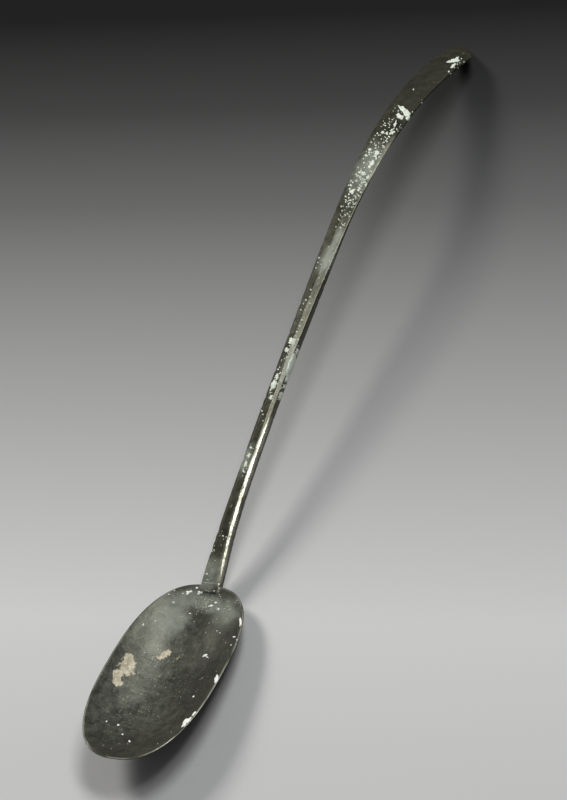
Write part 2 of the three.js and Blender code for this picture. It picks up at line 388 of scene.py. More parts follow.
def patina(name, tones, rough_low, rough_high):
    """Old bronze: mottled olive colour, fine scratches, pits, and stains, painted shade, painted sheen and
    painted highlights on the mesh.
    """
    material, tree, shader, place = new_material(name)
    broad = noise_node(tree, place, scale=70.0, detail=5.0, roughness=0.6, distortion=0.6)
    mottle = noise_node(tree, place, scale=420.0, detail=7.0, roughness=0.65, distortion=0.3)
    grain = noise_node(tree, place, scale=2600.0, detail=4.0, roughness=0.6)
    lines = scratch_lines(tree, place)
    scratch = times(tree, attribute(tree, "worn"), SCRATCH_STRENGTH)
    scratch = times(tree, ramp(tree, lines, SCRATCH_STOPS), scratch)
    green_and_sheen = times(tree, attribute(tree, "green_and_sheen"), plus(tree, mottle, GREEN_AND_SHEEN_LEAST))
    polish_and_highlight = plus(tree, times(tree, mottle, POLISH_AND_HIGHLIGHT_MOTTLE), POLISH_AND_HIGHLIGHT_LEAST)
    polish_and_highlight = times(tree, attribute(tree, "polish_and_highlight"), polish_and_highlight, clamp=True)
    tan = tan_share(tree, place)

    tone = plus(tree, times(tree, broad, PATINA_BROAD_SHARE), times(tree, mottle, PATINA_MOTTLE_SHARE))
    colour = ramp(tree, tone, list(zip(PATINA_STOPS, tones)))
    colour = mix_colour(tree, scratch, colour, SCRATCH_COLOUR)
    # Painted shade
    colour = mix_colour(tree, attribute(tree, "shade"), colour, SHADE_COLOUR)
    # Green-grey patina, and in part painted sheen
    colour = mix_colour(tree, green_and_sheen, colour, GREEN_AND_SHEEN_COLOUR)
    # Painted highlight, where the polish also smooths the metal
    colour = mix_colour(tree, polish_and_highlight, colour, PAINTED_HIGHLIGHT_COLOUR)
    colour = mix_colour(tree, tan, colour, ramp(tree, mottle, TAN_STOPS))
    tree.links.new(colour, shader.inputs["Base Color"])

    covered = plus(tree, tan, times(tree, green_and_sheen, GREEN_COVER), clamp=True)
    metallic = times(tree, minus(tree, 1.0, covered), PATINA_METALNESS)
    tree.links.new(metallic, shader.inputs["Metallic"])
    rough = plus(tree, rough_low, times(tree, mottle, rough_high - rough_low))
    rough = plus(tree, rough, times(tree, covered, COVER_ROUGHNESS), clamp=True)
    rough = times(tree, rough, minus(tree, 1.0, times(tree, polish_and_highlight, POLISH_SMOOTHING)))
    tree.links.new(rough, shader.inputs["Roughness"])
    bump(tree, shader, [(mottle, *MOTTLE_BUMP), (grain, *GRAIN_BUMP), (lines, *SCRATCH_BUMP)])
    return material


def crust(name, dark, light, scale):
    """A dull mineral crust, mottled from a dark to a light colour and a little beyond it."""
    material, tree, shader, place = new_material(name)
    broad = noise_node(tree, place, scale=scale, detail=6.0, roughness=0.65, distortion=0.4)
    grain = noise_node(tree, place, scale=scale * CRUST_GRAIN_FINENESS, detail=5.0, roughness=0.65)
    mixed = plus(tree, times(tree, broad, CRUST_BROAD_SHARE), times(tree, grain, CRUST_GRAIN_SHARE))
    lightest = tuple(min(1.0, CRUST_HIGHLIGHT * channel) for channel in light)
    colour = ramp(tree, mixed, list(zip(CRUST_STOPS, (dark, light, lightest))))
    rough = plus(tree, CRUST_ROUGHNESS, times(tree, grain, CRUST_ROUGHNESS_RANGE))
    tree.links.new(colour, shader.inputs["Base Color"])
    tree.links.new(rough, shader.inputs["Roughness"])
    shader.inputs["Metallic"].default_value = 0.0
    bump(tree, shader, [(broad, *CRUST_BUMP), (grain, *CRUST_GRAIN_BUMP)])
    return material


BOWL_METAL = patina(
    "bowl_patina",
    tones=[(0.032, 0.033, 0.024), (0.066, 0.067, 0.050), (0.12, 0.12, 0.092)],
    rough_low=0.26,
    rough_high=0.58,
)
HANDLE_METAL = patina(
    "handle_patina",
    tones=[(0.028, 0.027, 0.016), (0.055, 0.053, 0.034), (0.095, 0.092, 0.065)],
    rough_low=0.2,
    rough_high=0.5,
)
SOLDER_GREY = crust("solder_grey", dark=(0.07, 0.072, 0.055), light=(0.15, 0.155, 0.125), scale=500.0)
PALE_CRUST = crust("pale_crust", dark=(0.25, 0.28, 0.22), light=(0.54, 0.58, 0.50), scale=1100.0)
WHITE_CRUST = crust("white_crust", dark=(0.42, 0.43, 0.38), light=(0.70, 0.71, 0.67), scale=1100.0)
TAN_CRUST = crust("tan_deposit", dark=(0.38, 0.34, 0.24), light=(0.60, 0.55, 0.43), scale=600.0)


# The bowl, with dents as layers of (depth, size, seed)

BOWL_SIDES = 260
INNER_RINGS = 70
OUTER_RINGS = 46
HAMMER_DENTS = [(0.16, 11.0, 1), (0.06, 3.4, 2), (0.022, 1.1, 3)]
UNDERSIDE_DENTS = [(0.10, 8.0, 6), (0.03, 2.4, 7)]
DENTS_FADE_FROM = 0.9

# The rim's rounding across its top, as (inset from its outer edge, drop), and its small nicks
RIM_PROFILE = [(0.47, 0.0), (0.34, 0.0), (0.2, 0.0), (0.08, 0.03), (0.02, 0.12)]
RIM_OUTER_DROP = 0.22
RIM_NICK_DEPTH = 0.12
RIM_NICK_WAVE = (2.6, 4)
RIM_NICK_LOW = 0.25
RIM_NICK_HIGH = 0.55
RIM_WEAR = [(0.05, 1.0, 5)]


def ring_share(k, count):
    return math.sin(k / count * math.pi / 2)


def away_from_rim(share):
    """One inside the bowl, and nothing at its rim, where no dents are wanted."""
    return smooth_step(1.0, DENTS_FADE_FROM, share)


def bowl_ring(share, inset, height):
    ring = []
    for i in range(BOWL_SIDES):
        angle = -2 * math.pi * i / BOWL_SIDES
        squareness = TIP_SQUARENESS if math.cos(angle) < 0 else HEEL_SQUARENESS
        along = signed_power(math.cos(angle), 2 / squareness)
        across = signed_power(math.sin(angle), 2 / squareness)
        x = HALF_LENGTH + share * (HALF_LENGTH - inset) * along
        ring.append(Vector((x, share * (HALF_WIDTH - inset) * across, height)))
    return ring


def wall_height(x, y):
    """The height of the bowl's inner surface under a point, in the spoon's frame."""
    squareness = TIP_SQUARENESS if x < HALF_LENGTH else HEEL_SQUARENESS
    along = abs((x - HALF_LENGTH) / (HALF_LENGTH - RIM)) ** squareness
    across = abs(y / (HALF_WIDTH - RIM)) ** squareness
    share = (along + across) ** (1 / squareness)
    return -BOWL_DEPTH * (1 - share ** INNER_FULLNESS)


def inner_rings():
    rings = []
    for k in range(1, INNER_RINGS + 1):
        share = ring_share(k, INNER_RINGS)
        ring = bowl_ring(share, RIM, -BOWL_DEPTH * (1 - share ** INNER_FULLNESS))
        for p in ring:
            p.z += relief(p, HAMMER_DENTS) * away_from_rim(share)
        rings.append(ring)
    return rings


def rim_rings():
    rings = []
    for inset, drop in RIM_PROFILE:
        ring = bowl_ring(1.0, inset, 0.0)
        for p in ring:
            nick = smooth_step(RIM_NICK_LOW, RIM_NICK_HIGH, wobble(p, *RIM_NICK_WAVE))
            p.z -= drop + (RIM_NICK_DEPTH * nick + pits(p, RIM_WEAR))
        rings.append(ring)
    return rings


def outer_rings():
    rings = []
    for k in range(OUTER_RINGS, 0, -1):
        share = ring_share(k, OUTER_RINGS)
        ring = bowl_ring(share, 0.0, -OUTER_DEPTH * (1 - share ** OUTER_FULLNESS))
        for p in ring:
            if k == OUTER_RINGS:
                p.z -= RIM_OUTER_DROP
            p.z += pits(p, UNDERSIDE_DENTS) * away_from_rim(share)
        rings.append(ring)
    return rings


def bowl_mesh():
    rings = inner_rings() + rim_rings() + outer_rings()
    poles = []
    for ring in (rings[0], rings[-1]):
        poles.append(Vector((HALF_LENGTH, 0, sum(p.z for p in ring) / BOWL_SIDES)))
    return loft(rings, *poles)


# The handle, with dents as layers of (depth, size, seed)

HANDLE_DENTS = [(0.05, 4.0, 8), (0.03, 1.3, 9)]
HANDLE_PIT_DEPTH = 0.05
HANDLE_PIT_WAVE = (0.9, 10)
HANDLE_PIT_LOW = 0.3
HANDLE_PIT_HIGH = 0.6
LEFT_WEAR = {"least": 0.03, "most": 0.22, "spacing": 2.1, "low": 0.2, "high": 0.55, "lane": (3.3, 1.0)}
RIGHT_WEAR = {"least": 0.02, "most": 0.14, "spacing": 1.7, "low": 0.3, "high": 0.6, "lane": (9.1, 4.0)}
WEAR_FULL_WIDTH = 1.5

# The root's lip sinks a little towards its end, and its underside follows by a share of that
LIP_FALL = 0.3
LIP_FALL_START = 4.5
UNDERSIDE_FALL_SHARE = 0.6

# How the section's corners are rounded, and into how many parts each of its sides is cut
BAR_ROUNDING = 0.14
STRAP_ROUNDING = 0.1
STRAP_START = 120
LONGEST_ROUNDING_SHARE = 0.4
SIDE_PARTS = [8, 1, 3, 6, 4, 6, 3, 1]

# From which point of the section on the slot's corners take over, and how its ceiling is divided
SLOT_FIRST_POINT = 3
SLOT_DIVISION = 1.5

# How far apart the sections are, and how far they keep from the section before or after
LIP_STEP = 0.3
LIP_MARGIN = 0.1
SLOT_STEP = 0.45
SLOT_MARGIN = 0.3
BAR_STEP = 0.6
BAR_MARGIN = 0.5
STEP_SLIVER = 0.01
NOSE_STATIONS = 48
NOSE_THINNING = 0.35
NOSE_THIN_LENGTH = 2.0

width_at = law(WIDTHS)
thickness_at = law(THICKNESSES)
bevel_at = law(BEVELS)
tilt_at = law(BEVEL_TILTS)


def shoulder_line(place):
    """Where the handle's sides meet its bevels, as x, z and slope."""
    rise = FILM + LIP
    x = BOWL_LENGTH - RIM - rise * math.sin(WALL_SLOPE)
    z = rise * math.cos(WALL_SLOPE)
    slope = WALL_SLOPE
    left = place
    for length, turn in ARCS:
        step = min(left, length)
        bend = math.radians(turn) * step / length
        chord = 2 * math.sin(bend / 2) * step / bend if bend else step
        x += chord * math.cos(slope - bend / 2)
        z += chord * math.sin(slope - bend / 2)
        slope -= bend
        left -= step
        if left <= 0:
            break
    return x, z, slope


def handle_point(place, across, above):
    x, z, slope = shoulder_line(place)
    return Vector((x - above * math.sin(slope), across, z + above * math.cos(slope)))


def nose_share(place, length, fullness):
    """How much of the width is left at a place, when it closes over a length at the handle's end."""
    into = max(0.0, (place - (HANDLE_LENGTH - length)) / length)
    return max(0.0, 1 - min(1.0, into) ** fullness) ** (1 / fullness)


def edge_wear(place, least, most, spacing, low, high, lane):
    nicks = noise.noise(Vector((place / spacing, *lane)))
    return least + most * smooth_step(low, high, nicks)


def edges_at(place):
    """The handle's left and right edges at a place along it, with their wear."""
    half = width_at(place) / 2
    left_share = nose_share(place, LEFT_NOSE_LENGTH, LEFT_NOSE_FULLNESS)
    right_share = nose_share(place, RIGHT_NOSE_LENGTH, RIGHT_NOSE_FULLNESS)
    left = NOSE_OFFSET + HALF_NOSE_TIP + (half - NOSE_OFFSET - HALF_NOSE_TIP) * left_share
    right = NOSE_OFFSET - HALF_NOSE_TIP - (half + NOSE_OFFSET - HALF_NOSE_TIP) * right_share
    fade = smooth_step(0.0, WEAR_FULL_WIDTH, left - right)
    return left - edge_wear(place, **LEFT_WEAR) * fade, right + edge_wear(place, **RIGHT_WEAR) * fade


def rounded(outline, reach):
    """The outline's points with each corner cut over a reach, and each side cut into its parts."""
    count = len(outline)
    cuts = []
    for i in range(count):
        here = Vector(outline[i])
        before = Vector(outline[i - 1]) - here
        after = Vector(outline[(i + 1) % count]) - here
        back = here + before.normalized() * min(reach, before.length * LONGEST_ROUNDING_SHARE)
        ahead = here + after.normalized() * min(reach, after.length * LONGEST_ROUNDING_SHARE)
        cuts.append((back, (back + ahead) / 4 + here / 2, ahead))
    points = []
    for i in range(count):
        back, bend, ahead = cuts[i]
        following = cuts[(i + 1) % count][0]
        points.extend([back, bend])
        for part in range(SIDE_PARTS[i]):
            points.append(ahead.lerp(following, part / SIDE_PARTS[i]))
    return points


def slot_corners(bottom, ceiling):
    """The slot for the tang, from right to left across the root's underside."""
    half = TANG_WIDTH / 2 + FILM
    top = [(across, ceiling) for across in (-half, -SLOT_DIVISION, 0, SLOT_DIVISION, half)]
    return [Vector(corner) for corner in [(-half, bottom), *top, (half, bottom)]]


def handle_section(place, bottom, slot_ceiling):
    left, right = edges_at(place)
    width = left - right
    widest_bevel = (width - min(RIDGE_FLAT, width / 3)) / 2
    bevel = widest_bevel if place >= RIDGE_PLACE else min(bevel_at(place), widest_bevel)
    crown = bevel * math.tan(math.radians(tilt_at(place)))
    under = min(UNDERSIDE_BEVEL, width / 4, -bottom / 3)
    fall = LIP_FALL * smooth_step(LIP_FALL_START, -LIP_REACH, place)
    bottom -= UNDERSIDE_FALL_SHARE * fall
    outline = [
        (right + under, bottom),
        (left - under, bottom),
        (left, bottom + under),
        (left, -fall),
        (left - bevel, crown - fall),
        (right + bevel, crown - fall),
        (right, -fall),
        (right, bottom + under),
    ]
    points = rounded(outline, BAR_ROUNDING if place < STRAP_START else STRAP_ROUNDING)
    if slot_ceiling is not None:
        slot = slot_corners(bottom, slot_ceiling)
        points[SLOT_FIRST_POINT:SLOT_FIRST_POINT + len(slot)] = slot
    ring = []
    for across, above in points:
        p = handle_point(place, across, above)
        pitted = smooth_step(HANDLE_PIT_LOW, HANDLE_PIT_HIGH, wobble(p, *HANDLE_PIT_WAVE))
        dent = pits(p, HANDLE_DENTS) + HANDLE_PIT_DEPTH * pitted
        inward = 1.0 if above > bottom / 2 else -1.0
        share = min(1.0, -bottom)
        ring.append(handle_point(place, across, above - inward * dent * share))
    return ring


def handle_stations():
    """The handle's sections as (place, underside, slot's ceiling, or None where there is no slot)."""
    joint = TANG_LENGTH + FILM
    rim_place = RIM + FILM
    nose_start = HANDLE_LENGTH - RIGHT_NOSE_LENGTH

    def ceiling(place):
        return -(LIP + SCARF_SLOPE * place)

    stations = [(place, -LIP, None) for place in steps(-LIP_REACH, rim_place - LIP_MARGIN, LIP_STEP)]
    stations.append((rim_place - STEP_SLIVER, -LIP, None))
    for place in steps(rim_place, joint - SLOT_MARGIN, SLOT_STEP):
        stations.append((place, -thickness_at(place), ceiling(place)))
    stations.append((joint - STEP_SLIVER, -thickness_at(joint), ceiling(joint)))
    stations.append((joint + STEP_SLIVER, -thickness_at(joint), None))
    for place in steps(joint + BAR_MARGIN, nose_start, BAR_STEP):
        stations.append((place, -thickness_at(place), None))
    for i in range(1, NOSE_STATIONS + 1):
        place = nose_start + RIGHT_NOSE_LENGTH * ring_share(i, NOSE_STATIONS)
        thinned = 1 - NOSE_THINNING * smooth_step(NOSE_THIN_LENGTH, 0.0, HANDLE_LENGTH - place)
        stations.append((place, -thickness_at(place) * thinned, None))
    return stations


def middle_of(ring):
    return sum(ring, Vector()) / len(ring)


def handle_mesh():
    rings = [handle_section(*station) for station in handle_stations()]
    return loft(rings, middle_of(rings[0]), middle_of(rings[-1]))


# The joint

# How far the tang reaches back into the bowl's end wall, and how far down it starts there
TANG_STUB = 1.4
TANG_STUB_TOP = 0.2
TANG_STUB_BOTTOM = 0.4
TANG_TOP = -LIP - FILM
TANG_END_TOP = TANG_TOP - SCARF_DROP

# The bead of solder round the lip
BEAD_ROWS = 64
BEAD_COLUMNS = 90
BEAD_SPREAD = 1.3
BEAD_HALF_WIDTH = 3.2
BEAD_CORE_HALF_WIDTH = 3.1
BEAD_RIM_GAP = 0.05
BEAD_REACH_SHARE = 0.85
BEAD_REACH_CHANGE = 0.5
BEAD_REACH_WAVE = (1.4, 11)
BEAD_LEAST_REACH = 0.3
BEAD_HEIGHT = 0.5
BEAD_SHOULDER = 1.2
BEAD_LUMPS = 0.25
BEAD_LUMP_WAVE = (0.8, 12)
BEAD_SINK = 0.06
BEAD_DEPTH = 0.25


def root_block(outline, width):
    """A block drawn in the handle root's own frame, as wide as asked."""
    x, z, slope = shoulder_line(0)
    verts = []
    for across in (-width / 2, width / 2):
        for along, above in outline:
            px = x + along * math.cos(slope) - above * math.sin(slope)
            pz = z + along * math.sin(slope) + above * math.cos(slope)
            verts.append(place_in_world((px, across, pz)))
    count = len(outline)
    faces = [tuple(range(count - 1, -1, -1)), tuple(range(count, 2 * count))]
    for i in range(count):
        j = (i + 1) % count
        faces.append((i, j, count + j, count + i))
    return verts, faces


def tang_block():
    outline = [
        (-TANG_STUB, TANG_TOP - TANG_STUB_BOTTOM),
        (0.0, TANG_TOP - TANG_THICKNESS),
        (TANG_LENGTH, TANG_END_TOP - TANG_THICKNESS),
        (TANG_LENGTH, TANG_END_TOP),
        (0.0, TANG_TOP),
        (-TANG_STUB, TANG_TOP - TANG_STUB_TOP),
    ]
    return root_block(outline, TANG_WIDTH)


def film_block():
    outline = [
        (RIM, TANG_TOP - SCARF_SLOPE * RIM),
        (TANG_LENGTH, TANG_END_TOP),
        (TANG_LENGTH, -LIP - SCARF_DROP),
        (RIM, -LIP - SCARF_SLOPE * RIM),
    ]
    return root_block(outline, TANG_WIDTH)


def bead_height(along, across):
    """How high the bead stands over the bowl's wall, thinning out past the lip's edges."""
    out = math.hypot(max(0.0, -along - LIP_REACH), max(0.0, abs(across) - BEAD_CORE_HALF_WIDTH))
    change = BEAD_REACH_CHANGE * wobble((along, across, 0), *BEAD_REACH_WAVE)
    reach = BEAD_SPREAD * (BEAD_REACH_SHARE + change)
    share = max(0.0, 1 - out / max(BEAD_LEAST_REACH, reach))
    lumps = 1 + BEAD_LUMPS * wobble((along, across, 0), *BEAD_LUMP_WAVE)
    return BEAD_HEIGHT * share ** BEAD_SHOULDER * lumps - BEAD_SINK


def solder_bead_mesh():
    """The bead of solder that runs round the handle's lip inside the bowl and fills its step."""
    length = LIP_REACH + BEAD_SPREAD
    top = []
    bottom = []
    for row in range(BEAD_ROWS + 1):
        along = -length + (length - BEAD_RIM_GAP) * row / BEAD_ROWS
        x = BOWL_LENGTH - RIM + along * math.cos(WALL_SLOPE)
        for column in range(BEAD_COLUMNS + 1):
            across = (BEAD_HALF_WIDTH + BEAD_SPREAD) * (2 * column / BEAD_COLUMNS - 1)
            wall = max(-BOWL_DEPTH, min(0.0, wall_height(x, across)))
            top.append(Vector((x, across, wall + bead_height(along, across))))
            bottom.append(Vector((x, across, wall - BEAD_DEPTH)))
    verts = [place_in_world(p) for p in top + bottom]
    below = len(top)
    wide = BEAD_COLUMNS + 1
    faces = []
    for row in range(BEAD_ROWS):
        for column in range(BEAD_COLUMNS):
            a = row * wide + column
            faces.append((a, a + wide, a + wide + 1, a + 1))
            faces.append((below + a, below + a + 1, below + a + wide + 1, below + a + wide))
    border = list(range(BEAD_COLUMNS))
    border += [row * wide + BEAD_COLUMNS for row in range(BEAD_ROWS)]
    border += [BEAD_ROWS * wide + column for column in range(BEAD_COLUMNS, 0, -1)]
    border += [row * wide for row in range(BEAD_ROWS, 0, -1)]
    for i, a in enumerate(border):
        b = border[(i + 1) % len(border)]
        faces.append((a, b, below + b, below + a))
    return verts, faces


bowl_skin = bowl_mesh()
handle_skin = handle_mesh()
bead_skin = solder_bead_mesh()
bowl = mesh_piece("bowl_shell", *bowl_skin, BOWL_METAL)
handle = mesh_piece("handle_bar", *handle_skin, HANDLE_METAL)
tang = mesh_piece("bowl_tang", *tang_block(), BOWL_METAL, smooth=False)
film = mesh_piece("solder_film", *film_block(), SOLDER_GREY, smooth=False)
bead = mesh_piece("solder_bead", *bead_skin, BOWL_METAL)


# The camera, where the photograph was taken from

SENSOR_WIDTH = 36.0
CLIP_START = 0.05
CLIP_END = 50.0

CAMERA_AXES = (CAMERA_RIGHT, CAMERA_UP, CAMERA_BACK)
right, up, back = (TIPPED @ axis for axis in CAMERA_AXES)
local_eye = [-sum(axis[i] * seen for axis, seen in zip(CAMERA_AXES, TIP_SEEN)) for i in range(3)]
eye = place_in_world(local_eye)

camera_data = bpy.data.cameras.new("camera")
camera_data.sensor_width = SENSOR_WIDTH
camera_data.lens = FOCAL / PHOTO_HEIGHT * SENSOR_WIDTH
camera_data.clip_start = CLIP_START
camera_data.clip_end = CLIP_END
camera = bpy.data.objects.new("camera", camera_data)
camera.matrix_world = Matrix.Translation(eye) @ Matrix((right, up, back)).transposed().to_4x4()
bpy.context.scene.collection.objects.link(camera)
bpy.context.scene.camera = camera


def seen_ray(px, py):
    """The direction in which a point of the picture is seen."""
    across = (px - PHOTO_WIDTH / 2) / FOCAL
    upward = (PHOTO_HEIGHT / 2 - py) / FOCAL
    return (right * across + up * upward - back).normalized()


def picture_place(point):
    """Where in the picture a point of the world is seen, in pixels."""
    offset = point - eye
    depth = -offset.dot(back)
    px = PHOTO_WIDTH / 2 + FOCAL * offset.dot(right) / depth
    py = PHOTO_HEIGHT / 2 - FOCAL * offset.dot(up) / depth
    return px, py


# Stains, wear, painted shade, painted sheen and painted highlights on the metal

# Each is an oval read off the picture: x, y and half sizes in pixels, and turn in degrees
TAN_STAINS = [
    (128, 667, 9, 8, 20),
    (117, 676, 4, 9, 10),
    (128, 657, 5, 3.5, 0),
    (119, 683, 4, 3, 0),
    (164, 655, 8, 3, -30),
]
# Green-grey patina, with painted sheen on the bowl's end wall, beside it and along the strap
GREEN_STAINS_AND_SHEEN = [
    (214, 605, 17, 9, 10),
    (190, 600, 20, 9, -10),
    (176, 618, 12, 16, 30),
    (226, 612, 14, 12, 0),
    (328, 258, 7, 14, 25),
    (337, 238, 3, 11, 25),
    (366, 168, 10, 26, 28),
    (246, 460, 5, 14, 20),
    (291, 367, 8, 16, 20),
    (210, 575, 9, 18, 20),
]
WORN_AREAS = [(165, 690, 62, 50, -40), (120, 728, 25, 22, 0), (415, 90, 9, 8, 0)]
POLISH_AND_HIGHLIGHT_AREAS = [
    # Polish, and painted highlights along the shank's right bevel and the strap's right half
    (224, 562, 2.6, 28, 12),
    (235, 518, 2.6, 26, 15),
    (249, 476, 2.6, 26, 18),
    (262, 440, 2.4, 22, 20),
    (382, 160, 3.4, 22, 27),
]
# Painted shade: darker ovals on the bowl's right side and tip, and at the handle's end
SHADED_AREAS = [
    (232, 622, 12, 30, 25),
    (200, 690, 20, 40, 30),
    (135, 745, 40, 14, -10),
    (420, 84, 26, 20, -45),
]

# Each layer of stains, wear or painted light as its ovals, the softness of their edges, its value off them
# and what they add
MARKS_AND_PAINTED_LIGHT = {
    "tan": (TAN_STAINS, 0.5, 0.0, 1.0),
    "green_and_sheen": (GREEN_STAINS_AND_SHEEN, 0.6, 0.0, 1.0),
    "worn": (WORN_AREAS, 0.5, 0.25, 0.75),
    "shade": (SHADED_AREAS, 0.6, 0.0, 0.45),
    "polish_and_highlight": (POLISH_AND_HIGHLIGHT_AREAS, 0.4, 0.0, 1.0),
}

# How ragged the edges of stains and of painted light are, as layers of (height, size in metres, seed)
MARK_RAGGEDNESS = 0.5
MARK_LAYERS = [(0.5, 0.0026, 21), (0.35, 0.0009, 22)]

# How bright the rim's top is rubbed and painted as a highlight, and where along it, with the wave's size
# in metres
RUB_AND_HIGHLIGHT_STRENGTH = 0.75
RUB_AND_HIGHLIGHT_LOW = -0.5
RUB_AND_HIGHLIGHT_HIGH = 0.15
RUB_AND_HIGHLIGHT_WAVE = (0.006, 23)


def oval_share(ovals, softness, px, py, point):
    """How much of an oval layer, of stains, wear or painted light, a point of the metal has, seen at a
    place of the picture.
    """
    most = 0.0
    ragged = MARK_RAGGEDNESS * relief(point, MARK_LAYERS)
    for x, y, rx, ry, turn in ovals:
        c = math.cos(math.radians(turn))
        s = math.sin(math.radians(turn))
        dx = (c * (px - x) + s * (py - y)) / rx
        dy = (-s * (px - x) + c * (py - y)) / ry
        here = smooth_step(1.0 + softness, 1.0 - softness, math.hypot(dx, dy) + ragged)
        most = max(most, here)
    return most


def paint(piece):
    """The stains, wear, painted shade, painted sheen and painted highlights on the side of a piece that
    the camera sees, as attributes of its mesh.
    """
    mesh = piece.data
    layers = {name: [0.0] * len(mesh.vertices) for name in MARKS_AND_PAINTED_LIGHT}
    for v in mesh.vertices:
        if v.normal.dot(eye - v.co) < 0:
            continue
        px, py = picture_place(v.co)
        for name, (ovals, softness, least, gain) in MARKS_AND_PAINTED_LIGHT.items():
            layers[name][v.index] = least + gain * oval_share(ovals, softness, px, py, v.co)
    for name, values in layers.items():
        layer = mesh.attributes.new(name=name, type="FLOAT", domain="POINT")
        layer.data.foreach_set("value", values)


def rub_and_highlight_rim(piece):
    """The polish and painted highlight of the rim's top, on the last inner ring and all but the last of
    the rim's.
    """
    polish_and_highlight = piece.data.attributes["polish_and_highlight"].data
    first = 1 + (INNER_RINGS - 1) * BOWL_SIDES
    for index in range(first, first + len(RIM_PROFILE) * BOWL_SIDES):
        place = piece.data.vertices[index].co
        polish_and_highlight[index].value = RUB_AND_HIGHLIGHT_STRENGTH * smooth_step(RUB_AND_HIGHLIGHT_LOW, RUB_AND_HIGHLIGHT_HIGH, wobble(place, *RUB_AND_HIGHLIGHT_WAVE))


for piece in (bowl, handle, tang, bead):
    paint(piece)
# The rim's top, rubbed and painted as a highlight
rub_and_highlight_rim(bowl)


# Crusts and specks that stand up from the metal

# Each is an oval read off the picture: x, y and half sizes in pixels, and turn in degrees
WHITE_CRUSTS = [
    (200, 593, 2.6, 2.0, 0),
    (197, 588, 1.3, 1.4, 0),
    (189, 592.5, 3.2, 2.0, -15),
    (183, 593.5, 0.9, 0.9, 0),
    (173.5, 602.5, 1.3, 1.6, 0),
    (143.5, 625, 1.3, 1.3, 0),
    (155.5, 621.5, 1.0, 1.0, 0),
    (190, 613.5, 1.1, 1.0, 0),
    (174.5, 591, 1.0, 0.8, 0),
    (169, 594.5, 1.2, 0.9, 0),
    (240.5, 622, 1.2, 4.4, 0),
    (234, 637, 1.6, 1.2, 0),
    (216.5, 679, 1.9, 4.2, 15),
    (185, 723.5, 7.2, 2.3, -47),
    (194, 714, 3.2, 1.2, -50),
    (106.5, 721.5, 1.2, 1.0, 0),
    (118.5, 725, 1.4, 1.1, 0),
    (122.5, 734.5, 1.0, 0.9, 0),
    (129.5, 741.5, 1.2, 1.3, 0),
    (205, 655.5, 3.4, 1.1, -30),
    (207, 657, 2.0, 0.7, 35),
    (214, 591, 0.9, 0.9, 0),
    (211, 606, 2.4, 1.5, -10),
    (216, 603, 1.5, 1.2, 0),
    (218.5, 609, 1.2, 1.6, 0),
    (193.5, 696.5, 1.4, 0.7, -30),
    (217, 631, 0.8, 0.8, 0),
    (220, 633, 0.9, 0.6, 0),
    (144.5, 653, 0.8, 0.6, 0),
    (237, 640, 0.7, 0.9, 0),
    (231, 645, 0.6, 0.8, 0),
]
TAN_DEPOSITS = [
    (131, 668, 3.2, 2.2, 20),
    (126, 664, 2.0, 1.6, 0),
    (134, 664.5, 1.6, 1.3, 0),
    (128, 673, 1.8, 1.2, 0),
    (117, 672, 1.4, 2.2, 8),
    (116, 680, 1.5, 1.8, 8),
    (118.5, 684, 1.6, 1.1, 0),
    (127, 658, 1.6, 1.2, 0),
    (161, 657.5, 2.2, 1.1, -32),
    (167, 653.5, 1.8, 0.9, -32),
]
